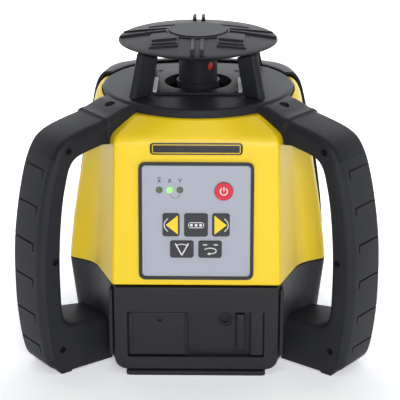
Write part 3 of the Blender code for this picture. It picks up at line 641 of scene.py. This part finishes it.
# The cross cuts lie at these heights, each with a short leg down the front face.
groove_heights = (141, 117.5, 93, 68.5, 43.5, 21)
for name, side in (("left", -1), ("right", 1)):
    place = handle_place(side)
    hoop = two_faced(f"handle_frame_{name}", core, HANDLE_HALF, roundness, NYLON, place, sunk)
    # Three blind screw wells in the front face.
    wells = []
    for across, up in ((114.0, 152.9), (126.3, 80.5), (123.0, 17.7)):
        rim = circle(2.3, (across, up), 20)
        wells.append(slab("well", rim, HANDLE_HALF - 3.5, HANDLE_HALF + 3, 0, NYLON, place))
    cut(hoop, wells)
    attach(hoop, "casing")
    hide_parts("handle_" + name)
    rows = []
    for index, here in enumerate(gripped):
        along = gripped[min(index + 1, len(gripped) - 1)] - gripped[max(index - 1, 0)]
        inwards = Vector((along.y, -along.x)).normalized()
        rows.append([place @ Vector((*(here + inwards * (deep + 0.02)), across)) for deep, across in section])
    grip = skin(f"handle_grip_{name}", rows, GRIP_RUBBER, closed=True, caps=True, angle=50)
    cuts = []
    for height in groove_heights:
        reach = min(gripped, key=lambda p: abs(p.y - height)).x
        for low, high, back, front in (
            (height - 0.7, height + 0.7, -22, 9.5),
            (height - 5.2, height + 0.7, 8.1, 9.5),
        ):
            slot = box_line((reach - 1.5, low), (reach + 4, high), 0.3, 2)
            cuts.append(slab("slot", slot, back, front, 0, NYLON, place))
    cut(grip, cuts, 50)
    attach(grip, "casing")
    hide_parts("grip_" + name)

# --- Handle brackets: the black ears that clamp each handle to the shoulder, one screw in each.

ear = [(60.5, 150.0), (77, 150.5), (84.5, 151.8), (85.3, 153.5)]
ear += [(86.0, 167.6), (80, 169.6), (74, 171.8), (69.5, 173.2), (66.5, 173.55), (60.5, 173.55)]
curved = curve_through(ear[3:6], 3)[:-1] + curve_through(ear[5:9], 3)
ear = curved + [Vector(ear[9])] + [Vector(p) for p in ear[:3]]
for name, side in (("left", -1), ("right", 1)):
    place = handle_place(side)
    edges = [4.4 if p.x > 62 and p.y > 160 else 2.0 if p.x > 62 else 0.6 for p in ear]
    bracket = two_faced(f"bracket_{name}_ear", ear[:], HANDLE_HALF + 0.2, edges, BLACK_ABS, place)
    flat = Matrix.Translation(place @ Vector((71, 0, 0)))
    cut(bracket, [slab("hole", circle(3.4, steps=24), 168.8, 176, 0, BLACK_ABS, flat)])
    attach(bracket, "casing")
    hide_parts("bracket_" + name)

# --- Deck: the round grey-black collar that closes the top of the casing, with a rolled rim. A
# --- square seal plate with a hole for the rotor is screwed on it.

# Black ABS again, but polished by its tool where the light lies flat on it, so it looks greyer.
DECK_ABS = moulded("deck_abs", "#2C2D31", "#26272B", 0.45, 0.5, 0.015, mottle=0.7, shine=0.14)


def turned(name, profile, finish, steps=96, place=None, angle=30):
    """A closed profile (radius, height) in millimetres spun round the upright axis."""
    rows = []
    place = place or Matrix()
    for k in range(steps + 1):
        a = math.tau * (k % steps) / steps
        rows.append([place @ Vector((r * math.sin(a), -r * math.cos(a), z)) for r, z in profile])
    cage = bmesh.new()
    lines = []
    for row in rows[:-1]:
        lines.append([cage.verts.new(point * MM) for point in row])
    lines.append(lines[0])
    count = len(profile)
    for before, after in zip(lines, lines[1:]):
        for k in range(count):
            n = (k + 1) % count
            cage.faces.new((before[k], after[k], after[n], before[n]))
    bmesh.ops.remove_doubles(cage, verts=cage.verts, dist=1e-7)
    bmesh.ops.recalc_face_normals(cage, faces=cage.faces)
    return shown(name, cage, finish, angle=angle)


def bent(start, middle, end, steps=4):
    """Points of a short curve from start to end, pulled to the middle."""
    return [
        tuple(a * (1 - t) ** 2 + b * 2 * t * (1 - t) + c * t * t for a, b, c in zip(start, middle, end))
        for t in (k / steps for k in range(steps + 1))
    ]


deck_low, deck_high = (Vector(corner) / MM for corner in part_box("deck_collar"))
DECK = deck_high.z
RIM_OUT = deck_high.x
profile = [(22.9, DECK - 5.0), (RIM_OUT - 4, DECK - 5.2)]
profile += [(RIM_OUT - 4, deck_low.z + 0.2), (RIM_OUT - 0.2, deck_low.z + 0.2)]
profile += bent((RIM_OUT - 0.1, DECK - 2.4), (RIM_OUT - 0.05, DECK - 0.2), (RIM_OUT - 2.2, DECK - 0.05), 5)
profile += [(RIM_OUT - 3.0, DECK - 0.05), (RIM_OUT - 20.0, DECK - 0.05)]
profile += [(23.6, DECK - 0.05), (22.9, DECK - 0.6)]
deck = turned("deck_skin", profile, DECK_ABS)
# Its back slopes down to the rim of the rear shell.
for vertex in deck.data.vertices:
    if vertex.co.z > (DECK - 3) * MM:
        vertex.co.z -= 2.6 * MM * max(0.0, (vertex.co.y / MM - 42) / (RIM_OUT - 42))
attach(deck, "casing")
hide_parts("deck_collar")
plate_low, plate_high = (Vector(corner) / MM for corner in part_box("seal_plate"))
plate = slab(
    "seal_plate_skin",
    box_line((plate_low.x, plate_low.y), (plate_high.x, plate_high.y), 2.2),
    DECK,
    plate_high.z,
    0.35,
    DECK_ABS,
)
cut(plate, [slab("hole", circle(22.6, steps=64), DECK - 3, plate_high.z + 3, 0, DECK_ABS)])
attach(plate, "casing")
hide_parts("seal_plate")
# Four steel screws hold the plate, blacked so that they are as dark as it is.
for number, (x, y) in enumerate(((-26, -26), (26, -26), (26, 26), (-26, 26))):
    rim = circle(1.9, (x, y), 20)
    head = slab(f"plate_screw_{number}", rim, plate_high.z - 0.6, plate_high.z + 0.25, 0.2, DECK_ABS)
    cut(head, [slab("hex", circle(0.9, (x, y), 6), plate_high.z - 0.3, plate_high.z + 1, 0, DECK_ABS)])
    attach(head, "casing")

# Pale grey tabs at the feet of the front posts stand in for the highlight along the seal plate's bevelled side
# edges: painted highlight. Pale and even, with little grain to see.
HIGHLIGHT_PALE_GREY = moulded("light_grey_abs", "#DDDFE3", "#D2D4D9", 0.42, 0.5, 0.01)
for name, low, high in (("left", -29.4, -26.9), ("right", 26.9, 29.4)):
    line = box_line((low, -28.0), (high, 5.0), 0.6)
    tab = slab(f"deck_highlight_tab_{name}", line, DECK, plate_high.z + 1.3, 0.4, HIGHLIGHT_PALE_GREY)
    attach(tab, "casing")
    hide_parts("post_tab_" + name)

# --- Crash cap: a dished disc on four posts, moulded in black ABS. It has a round medallion, raised
# --- pads on its front quarters, and sights along both of its axes.

# The cap's radius, the height of its middle, and the radius of the medallion.
CAP_OUT, CROWN, RING = 53.2, 210.45, 20.5
# The cap's black ABS: the same grain as the casing's, painted a little darker because its top faces the sky:
# painted shade.
SHADED_CAP_ABS = moulded("cap_abs_painted_shade", "#28292D", "#222327", 0.45, 0.6, 0.02, mottle=0.7, shine=0.12)


def cone(radius):
    """The height of the cap's top at a radius."""
    return CROWN - 4.35 * max(0.0, (radius - RING) / (CAP_OUT - RING)) ** 1.15


profile = [(0.0, CROWN), (RING, CROWN)]
for k in range(1, 9):
    radius = RING + (CAP_OUT - 0.7 - RING) * k / 8
    profile.append((radius, cone(radius)))
profile += bent((CAP_OUT - 0.2, 205.9), (CAP_OUT + 0.05, 205.6), (CAP_OUT - 0.2, 205.2), 3)
profile += [(40.0, 200.9), (34.0, 200.9), (27.0, 204.9), (0.0, 204.9)]
cap = turned("crash_cap", profile, SHADED_CAP_ABS, angle=24)
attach(cap, "casing")
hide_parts("head_cap")


def on_cap(name, outline, lift, edge=0.35, sink=1.2):
    """A raised panel that follows the slope of the cap."""
    made = slab(name, outline, -sink, lift, edge, SHADED_CAP_ABS)
    for vertex in made.data.vertices:
        vertex.co.z += cone(math.hypot(vertex.co.x, vertex.co.y) / MM) * MM
    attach(made, "casing")
    return made


def strip(start, end, half):
    """A straight bar's outline, anticlockwise, cut up so that it can follow a slope."""
    start, end = Vector(start), Vector(end)
    along = (end - start).normalized()
    out = Vector((along.y, -along.x)) * half
    points = [start.lerp(end, k / 6) + out for k in range(7)]
    return points + [end.lerp(start, k / 6) - out for k in range(7)]


def split_sides(corners):
    """A closed outline with each side cut in four, so that it can follow the cap's slope."""
    loop = []
    for here, after in zip(corners, corners[1:] + corners[:1]):
        loop += [here.lerp(after, k / 4) for k in range(4)]
    return loop


profile = [(19.6, CROWN - 0.5), (21.6, CROWN - 0.5), (21.4, CROWN + 0.65)]
profile += [(20.9, CROWN + 0.9), (20.1, CROWN + 0.9), (19.6, CROWN + 0.6)]
ring = turned("medallion_ring", profile, SHADED_CAP_ABS)
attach(ring, "casing")
for side in (-1, 1):
    which = "left" if side < 0 else "right"
    # The level rib from the medallion to the rim, and a short one behind it.
    on_cap(f"level_rib_{which}", strip((side * 21.2, -1.5), (side * 52.0, -1.5), 1.3), 1.5)
    on_cap(f"level_rib_back_{which}", strip((side * 21.0, 6.5), (side * 50.0, 13.0), 1.0), 1.0)
    # Outlines run anticlockwise, so the left ones are turned round.
    corners = ((12.5, -16.8), (12.5, -34.0), (31.5, -34.0), (31.5, -6.0), (22.0, -6.0))
    pad = [Vector((side * x, y)) for x, y in corners]
    if side < 0:
        pad.reverse()
    on_cap(f"front_pad_{which}", split_sides(pad), 1.0, 0.5)
    for number, depth in enumerate((-22.5, -30.0)):
        on_cap(f"pad_ridge_{which}_{number}", strip((side * 13.5, depth), (side * 30.0, depth), 0.8), 1.9)
    corners = ((14, 18.5), (34, 18.5), (27, 38), (14, 38))
    back = split_sides([Vector((side * x, y)) for x, y in corners])
    if side < 0:
        back.reverse()
    on_cap(f"back_pad_{which}", back, 0.6)
    # Front sight: two walls with a slot between them. Rear sight: two small horns.
    wall = strip((side * 3.0, -20.9), (side * 3.0, -50.8), 1.25)
    fin = slab(f"front_sight_{which}", wall, 205.2, 210.9, 0.5, SHADED_CAP_ABS)
    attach(fin, "casing")
    horn = slab(
        f"rear_horn_{which}",
        [(side * 3.0 - 1.3, 40.0), (side * 3.0 + 1.3, 40.0), (side * 3.0 + 1.2, 52.0), (side * 3.0 - 1.2, 52.0)],
        204.5,
        210.3,
        0.6,
        SHADED_CAP_ABS,
    )
    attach(horn, "casing")

# --- Front panel: a black bezel and a grey printed film under it, rubber keys, three lights, and a
# --- blank nameplate above. Everything lies along the leaning face.

LEAN = math.atan(NOSE_LEAN)
FACE = Matrix(
    (
        (1, 0, 0, 0),
        (0, math.sin(LEAN), -math.cos(LEAN), -WAIST),
        (0, math.cos(LEAN), math.sin(LEAN), PART_LINE),
        (0, 0, 0, 1),
    )
)
# Screen printing ink: opaque and smooth, in three colours. The dark one also lines the gaps round the keys as
# painted shade.
WHITE_INK = moulded("white_ink", "#E9EAE6", "#DFE0DC", 0.45, 0.3, 0.004)
YELLOW_INK = moulded("yellow_ink", "#F7D62A", "#F0CC20", 0.4, 0.3, 0.004)
DARK_INK_AND_SHADE = moulded("dark_ink_and_shade", "#3A3C42", "#33353A", 0.5, 0.3, 0.004)


def stroke(points, width):
    """The anticlockwise outline of a line of this width."""
    points = [Vector(p) for p in points]
    left, right = [], []
    for index, here in enumerate(points):
        along = (points[min(index + 1, len(points) - 1)] - points[max(index - 1, 0)]).normalized()
        out = Vector((along.y, -along.x)) * width / 2
        left.append(here + out)
        right.append(here - out)
    return left + right[::-1]


def printed(name, outline, ink, body, level):
    """A film of ink on a key or on the panel."""
    mark = slab(name, outline, level - 0.05, level + 0.05, 0, ink, FACE)
    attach(mark, body)
    return mark


def arc_points(centre, radii, start, end, steps=14):
    turns = [math.radians(start + (end - start) * k / steps) for k in range(steps + 1)]
    return [(centre[0] + radii[0] * math.cos(a), centre[1] + radii[1] * math.sin(a)) for a in turns]


film_low, film_high = (Vector(corner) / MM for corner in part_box("keypad_film"))
# A dark sheet under the keypad film that shows in the gaps round the keys: painted shade.
gap_shade_line = box_line(
    (film_low.x - 0.5, (film_low.z - PART_LINE) / math.cos(LEAN)),
    (film_high.x + 0.5, (film_high.z - PART_LINE) / math.cos(LEAN) - 0.4),
    1.5,
)
gap_shade = slab("keypad_tray", gap_shade_line, -0.4, 0.26, 0, DARK_INK_AND_SHADE, FACE)
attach(gap_shade, "casing")
KEY_TOP = 2.1


def sign(name, outline, key):
    """White ink on the top of a key."""
    return printed(name, outline, WHITE_INK, key, KEY_TOP)


for name, side in (("left", -1), ("right", 1)):
    tip, edge = side * 19.5, side * 11.7
    arrow = [Vector((tip, 40.6)), Vector((edge, 34.4)), Vector((edge, 46.9))]
    if side > 0:
        arrow.reverse()
    printed(f"arrow_{name}", arrow, YELLOW_INK, "key_" + name, KEY_TOP)
    bow = arc_points((side * 13.0, 40.6), (side * 7.5, 5.6), -48, 48, 12)
    sign(f"arrow_bow_{name}", stroke(bow, 0.5), "key_" + name)
# Level key: a vial with its bubble.
for name, low, high in (("top", 42.0, 42.45), ("bottom", 38.65, 39.1)):
    sign(f"vial_{name}", box_line((-4.4, low), (4.3, high), 0.2, 2), "key_level")
for name, x in (("left", -5.0), ("right", 4.5)):
    sign(f"vial_{name}", box_line((x, 39.2), (x + 0.45, 41.9), 0.2, 2), "key_level")
for number, x in enumerate((-3.0, 0.0, 2.9)):
    sign(f"vial_mark_{number}", box_line((x - 0.9, 39.7), (x + 0.8, 41.4), 0.4, 2), "key_level")
# Scan key: a fan of light. Speed key: a turning arrow under two dashes.
sign("fan_left", stroke([(-13.4, 28.5), (-9.15, 20.7)], 0.75), "key_scan")
sign("fan_right", stroke([(-9.15, 20.7), (-4.9, 28.5)], 0.75), "key_scan")
sign("fan_arc", stroke(arc_points((-9.15, 20.7), (7.3, 7.3), 116, 64), 0.5), "key_scan")
sign("turn_arc", stroke(arc_points((8.9, 23.6), (4.0, 1.9), 150, -95, 20), 0.55), "key_speed")
sign("turn_head", [Vector(p) for p in ((6.9, 21.7), (8.9, 20.8), (8.9, 22.7))], "key_speed")
for number, x in enumerate((4.4, 11.3)):
    sign(f"speed_dash_{number}", box_line((x, 27.3), (x + 2.7, 28.0), 0.3, 2), "key_speed")
# Power key: a broken ring with a bar.
power = sum((Vector(corner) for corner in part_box("key_power")), Vector()) / 2 / MM
POWER = (power.x, 62.7)
sign("power_ring", stroke(arc_points(POWER, (2.3, 2.3), 120, 420, 24), 0.62), "key_power")
power_bar = box_line((POWER[0] - 0.32, POWER[1] + 0.1), (POWER[0] + 0.32, POWER[1] + 3.0), 0.2, 2)
sign("power_bar", power_bar, "key_power")
# Axis marks over the lights, and the broken bow below them.
FILM_TOP = 1.0


def panel_mark(name, outline):
    """Dark ink on the film."""
    return printed(name, outline, DARK_INK_AND_SHADE, "casing", FILM_TOP)


for number, x in enumerate((-23.6, -17.0)):
    panel_mark(f"axis_mark_{number}_a", stroke([(x - 1.0, 68.0), (x + 1.0, 70.6)], 0.45))
    panel_mark(f"axis_mark_{number}_b", stroke([(x - 1.0, 70.6), (x + 1.0, 68.0)], 0.45))
panel_mark("axis_mark_dot", box_line((-24.6, 71.2), (-22.6, 71.6), 0.15, 2))
for name, end in (("a", (-11.4, 70.6)), ("b", (-9.4, 70.6)), ("c", (-10.4, 68.0))):
    panel_mark(f"axis_mark_2_{name}", stroke([(-10.4, 69.2), end], 0.45))
for number in range(5):
    start = 205 + number * 27
    panel_mark(f"bow_dash_{number}", stroke(arc_points((-13.7, 61.6), (3.4, 3.6), start, start + 17, 4), 0.4))
# The nameplate: a blank black label with a fine printed border.
# Polyester foil: black and smoother than the plastics round it.
NAME_FOIL = moulded("nameplate_foil", "#242428", "#1E1E22", 0.32, 0.3, 0.006)
LABEL_LINE = box_line((-29.45, 86.05), (29.45, 93.65), 2.2, 5)
label = slab("nameplate_foil", LABEL_LINE, 0.3, 0.9, 0.35, NAME_FOIL, FACE)
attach(label, "casing")
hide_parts("nameplate")
for name, low, high in (
    ("top", (-27.6, 92.25), (27.6, 92.7)),
    ("bottom", (-27.6, 87.0), (27.6, 87.45)),
    ("left", (-28.05, 87.45), (-27.6, 92.25)),
    ("right", (27.6, 87.45), (28.05, 92.25)),
):
    printed(f"label_line_{name}", box_line(low, high, 0.1, 2), YELLOW_INK, "casing", 0.9)

# --- Battery door: the black front of the base, hinged along its lower edge. A cover slides over the
# --- charge socket in its recess and locks it, behind a finger rib.

door_low, door_high = (Vector(corner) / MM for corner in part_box("battery_door"))
# Square upper corners, round lower ones.
outline = [Vector((door_high.x, door_low.z + 8))]
outline += [Vector((door_high.x, door_high.z - 1)), Vector((door_high.x - 1, door_high.z))]
outline += [Vector((door_low.x + 1, door_high.z)), Vector((door_low.x, door_high.z - 1))]
DOOR_CORNER = 8
for k in range(7):
    a = math.pi / 2 * k / 6
    away = Vector((1 - math.cos(a), 1 - math.sin(a))) * DOOR_CORNER
    outline.append(Vector((door_low.x + away.x, door_low.z + away.y)))
for k in range(6):
    a = math.pi / 2 * k / 6
    away = Vector((1 - math.sin(a), 1 - math.cos(a))) * DOOR_CORNER
    outline.append(Vector((door_high.x - away.x, door_low.z + away.y)))
# The door's black ABS: smoother than the base's, so it looks a shade deeper.
DOOR_ABS = moulded("door_abs", "#232427", "#1E1F22", 0.42, 0.6, 0.02, mottle=0.6, shine=0.3)
door = slab("door_panel", outline, -door_high.y, -door_low.y, 0.9, DOOR_ABS, FRONT, foot=0.3)
# The middle of the charge socket, and the recess that it lies in.
PORT = (18.7, 38.5)
recess = slab("recess", box_line((-45.0, 13.1), (44.5, 45.2), 1.0), 83.5, 92, 0, DOOR_ABS, FRONT)
cut(door, [recess, slab("port_hole", circle(4.75, PORT, 32), 78, 92, 0, DOOR_ABS, FRONT)])
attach(door, "door")
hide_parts("battery_door")
for name, low, high, front, edge in (
    ("door_rib", (26.2, 18.0), (31.7, 43.6), 87.9, 1.2),
    ("door_block", (35.4, 14.0), (43.9, 45.0), 87.5, 0.8),
):
    block = slab(name, box_line(low, high, 1.0), 83.3, front, edge, DOOR_ABS, FRONT)
    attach(block, "door")
lock_low, lock_high = (Vector(corner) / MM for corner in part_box("door_lock"))
cover_line = box_line((lock_low.x, lock_low.z), (lock_high.x, lock_high.z), 0.8)
cover_top = -lock_low.y - 0.7
cover = slab("lock_cover", cover_line, -lock_high.y, cover_top, 0.5, DOOR_ABS, FRONT, foot=0.2)
cut(cover, [slab("dimple", circle(2.0, (-24.0, 39.9), 24), 85.6, 90, 0, DOOR_ABS, FRONT)])
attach(cover, "lock")
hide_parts("door_lock")
# Two upright ridges to push it by.
ridge_spans = ((lock_low.x + 0.2, lock_low.x + 2.4), (lock_high.x - 1.7, lock_high.x - 0.2))
for number, (low, high) in enumerate(ridge_spans):
    line = box_line((low, 15.0), (high, 43.6), 0.5)
    ridge = slab(f"lock_ridge_{number}", line, 86.5, -lock_low.y, 0.5, DOOR_ABS, FRONT)
    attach(ridge, "lock")

for name, low, high in (("left", -56.9, -54.3), ("right", 54.3, 56.9)):
    jamb = slab(f"door_jamb_{name}", box_line((low, 14.0), (high, 60.5), 1.0), 80, 86.9, 0.8, DOOR_ABS, FRONT)
    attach(jamb, "casing")

# --- Front foot: a rubber-faced bar under the nose.

foot_low, foot_high = (Vector(corner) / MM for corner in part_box("front_foot"))
foot_line = box_line((foot_low.x, foot_low.y), (foot_high.x, foot_high.y), 2.5)
foot = slab("front_foot_bar", foot_line, foot_low.z, foot_high.z, 0.7, GRIP_RUBBER, foot=0.7)
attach(foot, "casing")
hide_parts("front_foot")

# --- Finishes of the pieces whose shape is as the frame gives them.


def metal(name, colour, roughness, grain, depth):
    """A bare metal with the marks of its making."""
    made, tree, out = material(name)
    place = add(tree, "TexCoord").outputs["Object"]
    marks = add(tree, "TexNoise", {"Vector": place, "Scale": 1 / (grain * MM), "Detail": 4.0})
    gloss = add(
        tree,
        "MapRange",
        {"Value": marks.outputs["Fac"], "To Min": roughness - 0.08, "To Max": roughness + 0.1},
    )
    bump = add(tree, "Bump", {"Strength": 0.4, "Distance": depth * MM, "Height": marks.outputs["Fac"]})
    shader = add(
        tree,
        "BsdfPrincipled",
        {
            "Base Color": linear(colour),
            "Metallic": 1.0,
            "Roughness": gloss.outputs["Result"],
            "Normal": bump.outputs["Normal"],
        },
    )
    tree.links.new(shader.outputs["BSDF"], out.inputs["Surface"])
    return made


def lens(name, colour, glow, strength):
    """A moulded or polished clear part: smooth, with a slight haze, and with a glow of the given strength or none.
    The status light is lit from behind; the red glow of the optics and of the rotor window is painted.
    """
    made, tree, out = material(name)
    place = add(tree, "TexCoord").outputs["Object"]
    haze = add(tree, "TexNoise", {"Vector": place, "Scale": 1 / (0.8 * MM)})
    gloss = add(tree, "MapRange", {"Value": haze.outputs["Fac"], "To Min": 0.12, "To Max": 0.22})
    shader = add(
        tree,
        "BsdfPrincipled",
        {
            "Base Color": linear(colour),
            "Roughness": gloss.outputs["Result"],
            "IOR": 1.49,
            "Emission Color": linear(glow),
            "Emission Strength": strength,
        },
    )
    tree.links.new(shader.outputs["BSDF"], out.inputs["Surface"])
    return made


# Soft-touch rubber keys, printed film, milled aluminium, turned brass, zinc-plated steel, solder
# mask over copper, and the shrink wrap of the battery.
finishes = {
    "yellow_abs": YELLOW_ABS,
    "black_abs": BLACK_ABS,
    "black_rubber": GRIP_RUBBER,
    "grey_deck": DECK_ABS,
    "light_grey_abs": HIGHLIGHT_PALE_GREY,
    "keypad_film": moulded("keypad_film", "#ABAFBB", "#A6AAB6", 0.38, 0.4, 0.006),
    "bezel_black": moulded("bezel_abs", "#222226", "#1D1D21", 0.33, 0.5, 0.01),
    "key_black": moulded("key_rubber", "#2C2D33", "#27282D", 0.5, 0.5, 0.01),
    "key_red": moulded("key_red_rubber", "#D81F37", "#CC1B31", 0.38, 0.5, 0.008),
    "indicator_lens": lens("indicator_lens", "#5D6B55", "#000000", 0.0),
    # The optical glass has a faint red painted glow.
    "optical_glass": lens("optical_glass", "#2A0F12", "#FF2A20", 0.02),
    "aluminium": metal("machined_aluminium", "#C6C7C9", 0.32, 0.9, 0.01),
    "brass": metal("turned_brass", "#D2AE62", 0.3, 0.9, 0.01),
    "steel": metal("zinc_plated_steel", "#A9ABAF", 0.35, 0.9, 0.01),
    "circuit_board": moulded("circuit_board", "#1F5A38", "#1A4E30", 0.4, 1.2, 0.02),
    "battery_wrap": moulded("battery_wrap", "#2E5FA8", "#28559A", 0.35, 3.0, 0.02),
}
for node in nodes.values():
    for held in node.material_slots:
        kind = held.material.name.split(".")[0]
        held.material = finishes[kind]
nodes["cap_medallion"].material_slots[0].material = SHADED_CAP_ABS
# The rotor window's red glow is a painted reflection.
nodes["rotor_window"].material_slots[0].material = lens("red_window_painted_reflection", "#7A1014", "#FF2418", 0.16)
nodes["light_status"].material_slots[0].material = lens("lit_lens", "#9BE08A", "#6CFF4A", 1.6)
